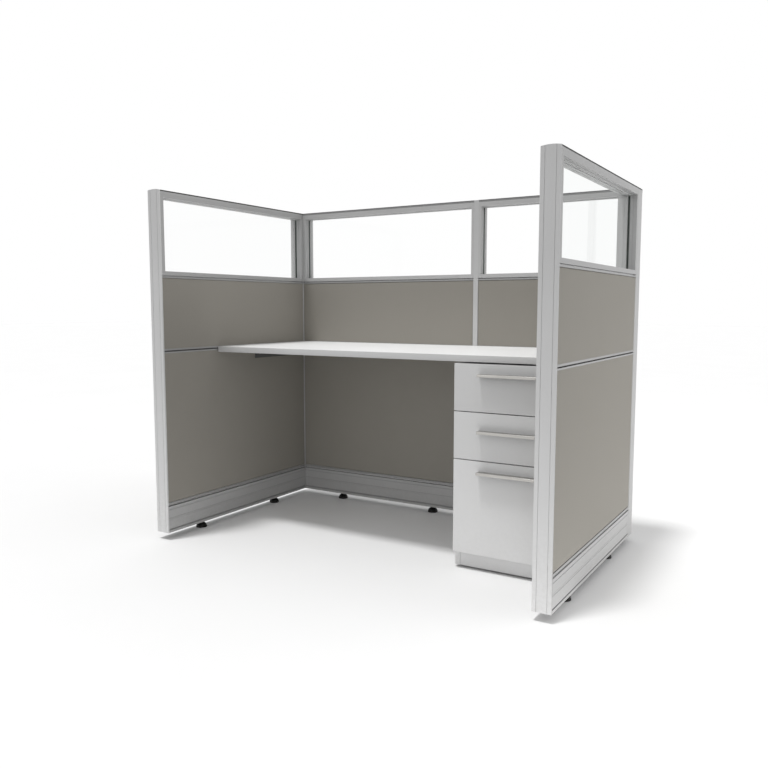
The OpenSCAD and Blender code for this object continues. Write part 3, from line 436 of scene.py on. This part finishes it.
plain_weave = weave_group()
tile_cloth = cloth("tile_cloth", gray(164, 4), gray(150, 4))
swell = sum(rise for inset, rise in cloth_swell)
for node, (out_x, out_y) in faces_of_tiles.items():
    low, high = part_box(node)
    outward = Vector((out_x, out_y, 0.0))
    for level, bottom, top in (("lower", low.z, tile_split[0]), ("upper", tile_split[1], high.z)):
        corner_low, corner_high = Vector((low.x, low.y, bottom)), Vector((high.x, high.y, top))
        for axis in (0, 1):
            if outward[axis] > 0:
                corner_high[axis] -= swell
            if outward[axis] < 0:
                corner_low[axis] += swell
        tile = add_block(node.replace("tiles", level + "_tile"), corner_low, corner_high)
        pick(tile, "FACE", lambda face: face.normal.dot(outward) > squarely)
        bpy.ops.mesh.bevel(offset=wrap_radius, segments=4, affect="EDGES")
        pick(tile, "FACE", lambda face: face.normal.dot(outward) > squarely)
        for inset, rise in cloth_swell:
            bpy.ops.mesh.inset(thickness=inset)
            bpy.ops.transform.translate(value=outward * rise)
        complete(tile, "workstation", tile_cloth)
        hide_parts(node)

# Tile edge trims: narrow extruded strips of silver-coated aluminium along the top and the bottom of
# every tile. Each has a narrow face beside the cloth and a flange that reaches in to the frame.
edge_silver = coated("edge_silver", gray(165), gray(157), smooth=0.42, rough=0.52)
dress(edge_silver, "tile_edge_trims")

# Glazing: an extruded frame mitred at its corners, which stands on the upper rail, with fine bead lines
# in its reveals. A grey-green wedge gasket, paler along its top run, holds one clear toughened pane,
# 5 mm thick, in each frame.
glazing_silver = coated("glazing_silver", gray(192), gray(184), smooth=0.38, rough=0.48)
# Flake flop and painted shade darken the glazing coat at a slant.
add_flake_and_painted_shade(glazing_silver, flake_and_painted_shade)
dress(glazing_silver, "left_glazing_frame", "back_wide_glazing_frame", "back_narrow_glazing_frame",
      "right_glazing_frame")
gasket_rubber = coated("gasket_rubber", (0.13, 0.155, 0.14, 1.0), (0.1, 0.12, 0.108, 1.0), grain=900.0,
                       smooth=0.6, rough=0.75, dust=0.0)
gasket_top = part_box("glazing_gaskets")[1].z
pale_gasket_height = 0.012
tint_between(gasket_rubber, gasket_top - pale_gasket_height, gasket_top, gray(220))
dress(gasket_rubber, "glazing_gaskets")
clear_tint = (1.0, 1.0, 1.0, 1.0)
slant_tint = (0.972, 0.98, 0.976, 1.0)
see_through_share = 0.88
most_of_smears = (0.45, 0.8)
smear_roughness = (0.0, 0.05)


def clear_glass(name):
    """Clear float glass, faintly smeared and a little deeper in tint at a slant.

    Light on its way to a lamp, or out of the pane, goes straight through, so that none is caught inside.
    """
    material, tree, shader, place = start_finish(name)
    slant = tree.nodes.new("ShaderNodeLayerWeight")
    slant.inputs["Blend"].default_value = 0.5
    tint = blend_colors(tree, slant.outputs["Facing"], clear_tint, slant_tint)
    tree.links.new(tint, shader.inputs["Base Color"])
    shader.inputs["Transmission Weight"].default_value = 1.0
    shader.inputs["Specular IOR Level"].default_value = 0.2
    shader.inputs["IOR"].default_value = 1.5
    smears = cloud(tree, place, scale=9.0, detail=4.0, roughness=0.6)
    smears = spread_to(tree, smears, most_of_smears, smear_roughness)
    tree.links.new(smears, shader.inputs["Roughness"])
    through = tree.nodes.new("ShaderNodeBsdfTransparent")
    tree.links.new(tint, through.inputs["Color"])
    to_lamp = tree.nodes.new("ShaderNodeLightPath").outputs["Is Shadow Ray"]
    leaving = tree.nodes.new("ShaderNodeNewGeometry").outputs["Backfacing"]
    unbent = arithmetic(tree, "MAXIMUM", to_lamp, leaving)
    both = tree.nodes.new("ShaderNodeMixShader")
    tree.links.new(arithmetic(tree, "MAXIMUM", unbent, see_through_share), both.inputs["Fac"])
    tree.links.new(shader.outputs["BSDF"], both.inputs[1])
    tree.links.new(through.outputs["BSDF"], both.inputs[2])
    tree.links.new(both.outputs["Shader"], tree.nodes["Material Output"].inputs["Surface"])
    return material


dress(clear_glass("pane_glass"), "left_glass", "back_wide_glass", "back_narrow_glass", "right_glass")

# Top caps and end trims: crowned caps that snap along the top of each run and over each corner post, with
# a band of painted shade under the crown, wider on the back run, and grooved covers that close the front
# ends of the side panels. All have a silver coat that darkens at a slant, as flake flop and painted shade.
cap_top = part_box("corner_post_caps")[1].z
caps_of_run = {
    "side": ("left_top_cap", "right_top_cap", "corner_post_caps"),
    "back": ("back_wide_top_cap", "back_narrow_top_cap"),
}
# Painted shade under each run's crown: its bottom and top below the cap's top, and its tone.
painted_shade_below_top = {"side": (0.008, 0.0028, 70), "back": (0.0125, 0.0012, 138)}
for run, caps in caps_of_run.items():
    bottom, top, tone = painted_shade_below_top[run]
    cap_silver = coated(run + "_cap_silver", gray(196), gray(188), smooth=0.4, rough=0.5)
    add_flake_and_painted_shade(cap_silver, flake_and_painted_shade)
    tint_between(cap_silver, cap_top - bottom, cap_top - top, gray(tone))
    dress(cap_silver, *caps)
# The end trims' silver is paler than the other trims' and darkens more at a slant: painted light on their
# front faces and painted shade on their slanted sides, over the flake flop.
end_flake_and_painted_shade = (0.63, 0.63, 0.63, 1.0)
end_silver_with_painted_light = coated("end_silver_with_painted_light", gray(219), gray(213), smooth=0.4, rough=0.5)
add_flake_and_painted_shade(end_silver_with_painted_light, end_flake_and_painted_shade, slanted=(0.38, 0.55))
dress(end_silver_with_painted_light, "left_end_trim", "right_end_trim")

# Connector bolts, screws and nuts: bright zinc-plated steel, hidden inside the frames and under the
# worksurface.
dress(zinc_plate, "assembly_fasteners")

# Worksurface: particle board with a white laminate of very fine texture, screwed to grey steel angles
# on the left and back panels and to spacers on the pedestal. A light grey band 2 mm thick covers its
# front and ends.


def ease_edges(piece, width, sharp):
    """Rounds off a piece's edges that turn by more than this many degrees."""
    ease = piece.modifiers.new("ease", "BEVEL")
    ease.width = width
    ease.segments = 3
    ease.angle_limit = math.radians(sharp)
    bpy.ops.object.modifier_apply(modifier=ease.name)


bracket_gray = coated("bracket_gray", gray(100), gray(90), grain=700.0, smooth=0.45, rough=0.6,
                      depth=0.0001)
dress(bracket_gray, "worksurface_supports")
laminate_white = coated("laminate_white", gray(246), gray(244), grain=1500.0, patch=6.0, smooth=0.32,
                        rough=0.42, depth=0.00004, gloss=0.08, dust=0.0)
dress(laminate_white, "worksurface")
band_corner = 0.008
band_thickness = 0.002
band_ease = 0.0007
band_gray = coated("band_gray", gray(208), gray(202), smooth=0.4, rough=0.5, dust=0.0)
low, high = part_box("worksurface_edge_band")
band = add_block("worksurface_front_band", low, high)
pick(band, "FACE", lambda face: face.normal.y > squarely or abs(face.normal.z) > squarely)
bpy.ops.mesh.delete(type="FACE")
pick(band, "EDGE", lambda edge: abs(edge.verts[0].co.z - edge.verts[1].co.z) > (high.z - low.z) / 2
     and edge.verts[0].co.y < low.y + band_thickness)
bpy.ops.mesh.bevel(offset=band_corner, segments=8, affect="EDGES")
bpy.ops.object.mode_set(mode="OBJECT")
wall = band.modifiers.new("wall", "SOLIDIFY")
wall.thickness = band_thickness
wall.offset = -1.0
wall.use_even_offset = True
bpy.ops.object.modifier_apply(modifier=wall.name)
ease_edges(band, band_ease, sharp=60.0)
complete(band, "workstation", band_gray)
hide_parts("worksurface_edge_band")

# Pedestal: a case of painted board with a recessed kick plate, screwed up under the worksurface and
# standing on four studs. It holds two box drawers over one file drawer.
case_paint = coated("case_paint", gray(214), gray(208), smooth=0.42, rough=0.52, reach=0.12)
kick_paint = coated("kick_paint", gray(210), gray(204), smooth=0.45, rough=0.56, dust=0.15, reach=0.06)
dress(case_paint, "pedestal_case")
dress(kick_paint, "pedestal_kick")

# Drawer slides: three nested members of zinc-plated steel on each side of each drawer, so that the
# drawers come out to their full depth. The middle member travels half as far as the drawer.
dress(zinc_plate, "slide_case_members")
for drawer in ("top", "middle", "file"):
    dress(zinc_plate, drawer + "_slide_middle_members", drawer + "_drawer_slide_members")

# Drawer boxes: four boards glued round a thin bottom, painted light grey inside and out. The file box
# also has two rails that hanging files ride on.
box_paint = coated("box_paint", gray(196), gray(188), grain=700.0, smooth=0.45, rough=0.58, depth=0.0001)
dress(box_paint, "top_drawer_box", "middle_drawer_box", "file_drawer_box")

# Drawer fronts: flat painted boards with softly eased edges, fixed to the front of their boxes, with a
# narrow dark gap between them.
front_ease = 0.0016
front_paint = coated("front_paint", gray(210), gray(206), smooth=0.36, rough=0.46, dust=0.12, reach=0.3)
for drawer in ("top", "middle", "file"):
    low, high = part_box(drawer + "_drawer_front")
    front = add_block(drawer + "_drawer_face", low, high)
    bpy.ops.object.mode_set(mode="EDIT")
    bpy.ops.mesh.select_all(action="SELECT")
    bpy.ops.mesh.bevel(offset=front_ease, segments=4, affect="EDGES")
    complete(front, drawer + "_drawer", front_paint, angle=50.0)
    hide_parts(drawer + "_drawer_front")

# Drawer pulls: an extruded aluminium ledge with a lip in front, a channel for the fingers under it and
# a flange that two studs hold against the drawer front. The finish is a warm satin nickel, made dark to
# bounced light so that it paints shade on the front beside it.
ledge_wall = 0.003
stud_inset = 0.030
stud_radius = 0.002
pull_ease = 0.0011
# Painted shade: the colour that bounced light gets from a pull, to shade the front beside it.
pull_painted_shade_bounce = gray(60)
pull_nickel = coated("pull_nickel", gray(179, 2), gray(171, 2), grain=500.0, patch=20.0, smooth=0.3,
                     rough=0.4, depth=0.00003, metallic=1.0, dust=0.0)
# The pull turns dark to bounced light, which paints shade on the front around it.
rays = pull_nickel.node_tree.nodes.new("ShaderNodeLightPath").outputs
paint_over(pull_nickel, rays["Is Diffuse Ray"], pull_painted_shade_bounce)
for drawer in ("top", "middle", "file"):
    low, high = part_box(drawer + "_drawer_pull")
    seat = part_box(drawer + "_drawer_front")[0].y
    pull = add_block(drawer + "_drawer_handle", (low.x, low.y, high.z - ledge_wall), (high.x, seat, high.z))
    lip_back = low.y + ledge_wall
    flange_front = seat - ledge_wall
    bpy.ops.object.mode_set(mode="EDIT")
    for cut in (lip_back, flange_front):
        bpy.ops.mesh.select_all(action="SELECT")
        bpy.ops.mesh.bisect(plane_co=(0, cut, 0), plane_no=(0, 1, 0))
    pick(pull, "FACE", lambda face: face.normal.z < -squarely
         and not lip_back < face.calc_center_median().y < flange_front)
    bpy.ops.mesh.extrude_region_move(TRANSFORM_OT_translate={"value": (0, 0, low.z + ledge_wall - high.z)})
    bpy.ops.object.mode_set(mode="OBJECT")
    ease_edges(pull, pull_ease, sharp=40.0)
    bpy.ops.object.mode_set(mode="EDIT")
    stud_length = high.y - seat + ledge_wall / 2
    middle_y = (high.y + seat - ledge_wall / 2) / 2
    middle_z = (low.z + high.z) / 2
    for middle_x in (low.x + stud_inset, high.x - stud_inset):
        bpy.ops.mesh.primitive_cylinder_add(
            vertices=16, radius=stud_radius, depth=stud_length,
            location=(middle_x, middle_y, middle_z), rotation=(math.pi / 2, 0, 0))
    complete(pull, drawer + "_drawer", pull_nickel, angle=40.0)
    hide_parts(drawer + "_drawer_pull")

# The studio: a wide pale floor under an even white surround, with a soft sun high over the left front,
# a large softbox beyond the right side, a faint one at the left front and a low card of light on the
# floor before the drawers. Past a couple of metres the floor throws back little light.
white = (1.0, 1.0, 1.0, 1.0)
surround_strength = 0.65
floor_size = 80.0
floor_fade = (1.2, 2.2)
floor_bounce = gray(60)
world = bpy.data.worlds.new("studio_surround")
bpy.context.scene.world = world
world.use_nodes = True
tree = world.node_tree
lit = tree.nodes["Background"]
lit.inputs["Color"].default_value = white
lit.inputs["Strength"].default_value = surround_strength
seen = tree.nodes.new("ShaderNodeBackground")
seen.inputs["Color"].default_value = white
rays = tree.nodes.new("ShaderNodeLightPath").outputs
through_or_off = arithmetic(tree, "MAXIMUM", rays["Is Glossy Ray"], rays["Is Transmission Ray"])
shown = arithmetic(tree, "MAXIMUM", rays["Is Camera Ray"], through_or_off)
either = tree.nodes.new("ShaderNodeMixShader")
tree.links.new(shown, either.inputs["Fac"])
tree.links.new(lit.outputs["Background"], either.inputs[1])
tree.links.new(seen.outputs["Background"], either.inputs[2])
tree.links.new(either.outputs["Shader"], tree.nodes["World Output"].inputs["Surface"])

pick_nothing()
bpy.ops.mesh.primitive_plane_add(size=floor_size, location=(0, 0, 0))
floor = bpy.context.object
floor.name = "studio_floor"
floor_paint, tree, shader, place = start_finish("studio_floor_paint")
reach = tree.nodes.new("ShaderNodeVectorMath")
reach.operation = "LENGTH"
tree.links.new(place, reach.inputs[0])
rays = tree.nodes.new("ShaderNodeLightPath").outputs
far = spread_to(tree, reach.outputs["Value"], floor_fade, full_range)
beyond = arithmetic(tree, "MULTIPLY", far, rays["Is Diffuse Ray"])
pale = blend_colors(tree, cloud(tree, place, scale=1.5), gray(240), gray(237))
tree.links.new(blend_colors(tree, beyond, pale, floor_bounce), shader.inputs["Base Color"])
shader.inputs["Roughness"].default_value = 0.9
shader.inputs["Specular IOR Level"].default_value = 0.1
floor.data.materials.append(floor_paint)
floor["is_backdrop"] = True


def hang_lamp(name, kind, place, back, power):
    """A lamp at this place, with its back turned this way."""
    light = bpy.data.lights.new(name, kind)
    light.energy = power
    lamp = bpy.data.objects.new(name, light)
    bpy.context.collection.objects.link(lamp)
    lamp.location = place
    lamp.rotation_euler = Vector(back).to_track_quat("Z", "Y").to_euler()
    lamp.visible_camera = False
    lamp.visible_transmission = False
    return light


def hang_softbox(name, place, back, power, width, height):
    """A rectangular lamp at this place, with its back turned this way."""
    softbox = hang_lamp(name, "AREA", place, back, power)
    softbox.shape = "RECTANGLE"
    softbox.size = width
    softbox.size_y = height


key_light = hang_lamp("key_lamp", "SUN", place=(-0.5, -1.0, 4.0), back=(-0.108, -0.217, 1.0), power=1.64)
key_light.angle = math.radians(8)
hang_softbox("right_softbox", place=(4.0, 1.1, 0.8), back=(1.0, 0.25, 0.0), power=56.0,
             width=3.0, height=1.6)
hang_softbox("left_softbox", place=(-2.6, -3.6, 1.2), back=(-0.6, -0.8, 0.15), power=8.0,
             width=3.0, height=1.6)
hang_softbox("floor_card", place=(0.45, -0.6, 0.01), back=(0.0, 0.0, -1.0), power=1.0,
             width=1.0, height=0.75)

# The viewpoint: a camera in front of the right-hand end, below the top of the panels and tilted
# slightly down, as in the photograph.
eye_place = (1.5298, -2.5984, 0.9309)
line_of_sight = (-0.51580, 0.85090, -0.09966)
view_camera = bpy.data.cameras.new("view_camera")
view_camera.sensor_width = 36.0
view_camera.lens = 35.913
viewpoint = bpy.data.objects.new("view_camera", view_camera)
bpy.context.collection.objects.link(viewpoint)
viewpoint.location = eye_place
viewpoint.rotation_euler = Vector(line_of_sight).to_track_quat("-Z", "Y").to_euler()
bpy.context.scene.camera = viewpoint
bpy.context.scene.view_settings.view_transform = "Standard"

low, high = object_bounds()
